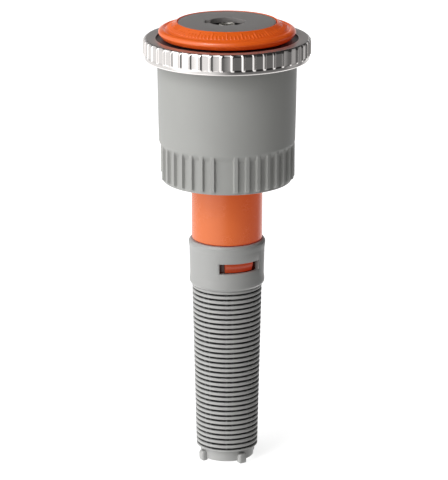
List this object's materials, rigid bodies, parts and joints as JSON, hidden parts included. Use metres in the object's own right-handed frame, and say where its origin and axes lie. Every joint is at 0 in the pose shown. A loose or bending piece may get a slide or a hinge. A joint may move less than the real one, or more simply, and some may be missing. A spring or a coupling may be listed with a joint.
{
  "type": "rotary sprinkler nozzle",
  "caption": "Rotary stream nozzle for a pop-up lawn sprinkler: housing with a female riser thread, fluted steel arc ring, orange cap with a keyhole, inlet tube and slotted filter.",
  "frame": {"origin": "on the nozzle's axis, in the plane of the land that the riser's rim seats on", "axes": "+Z along the axis, from the filter towards the cap; -Y is the front, where the skirt has a plain land in place of a rib"},
  "size_m": [0.028, 0.028, 0.0765],
  "materials": {
    "grey_housing_plastic": "fine moulded satin",
    "orange_plastic": "moulded, semi-gloss",
    "dark_grey_plastic": "fine moulded satin",
    "filter_plastic": "moulded satin",
    "ring_plastic": "moulded satin",
    "acetal": "natural white acetal",
    "black_acetal": "moulded satin",
    "stainless_sheet": "polished pressed sheet",
    "stainless_rod": "ground rod",
    "spring_wire": "drawn wire",
    "nitrile": "moulded nitrile"
  },
  "bodies": {
    "base": {"base_housing": "grey_housing_plastic", "inlet_tube": "orange_plastic", "tube_o_ring": "nitrile", "stream_deflector": "acetal", "filter_basket": "filter_plastic", "throttle_bridge": "acetal", "ring_o_ring": "nitrile", "return_spring": "spring_wire"},
    "arc_adjuster": {"arc_ring": "ring_plastic", "arc_ring_cover": "stainless_sheet", "arc_nozzle": "black_acetal", "nozzle_o_ring": "nitrile"},
    "carriage": {"spring_cup": "stainless_rod"},
    "radius_shaft": {"shaft": "stainless_rod", "shaft_clip": "stainless_rod", "stator_drum": "acetal", "thrust_washer": "acetal"},
    "rotor": {"rotor_plate": "black_acetal", "chamber_lid": "dark_grey_plastic", "upper_bearing": "acetal", "lower_bearing": "acetal", "lip_seal": "nitrile", "colour_cap_ring": "orange_plastic", "cap_disc": "dark_grey_plastic"},
    "screw": {"throttle_screw": "black_acetal"},
    "plug": {"throttle_plug": "acetal"}
  },
  "joints": [
    {"name": "arc_turn", "type": "hinge", "parent": "base", "child": "arc_adjuster", "pos_m": [0, 0, 0], "axis": [0, 0, 1], "range_deg": [0, 120]},
    {"name": "pop_up", "type": "slide", "parent": "base", "child": "carriage", "axis": [0, 0, 1], "range_m": [0, 0.0055], "stiffness_N_per_m": 300, "springref_m": -0.004, "deforming": ["return_spring"]},
    {"name": "radius_turn", "type": "hinge", "parent": "carriage", "child": "radius_shaft", "pos_m": [0, 0, 0], "axis": [0, 0, 1], "range_deg": [0, 1080]},
    {"name": "rotor_spin", "type": "hinge", "parent": "radius_shaft", "child": "rotor", "pos_m": [0, 0, 0], "axis": [0, 0, 1], "continuous": true},
    {"name": "screw_turn", "type": "hinge", "parent": "base", "child": "screw", "pos_m": [0, 0, 0], "axis": [0, 0, 1], "range_deg": [0, 1080]},
    {"name": "plug_travel", "type": "slide", "parent": "base", "child": "plug", "axis": [0, 0, 1], "range_m": [0, 0.003]}
  ],
  "couplings": [
    {"joint": "screw_turn", "follows": "radius_turn", "ratio": 1},
    {"joint": "plug_travel", "follows": "radius_turn", "m_per_rad": 0.00015915}
  ]
}
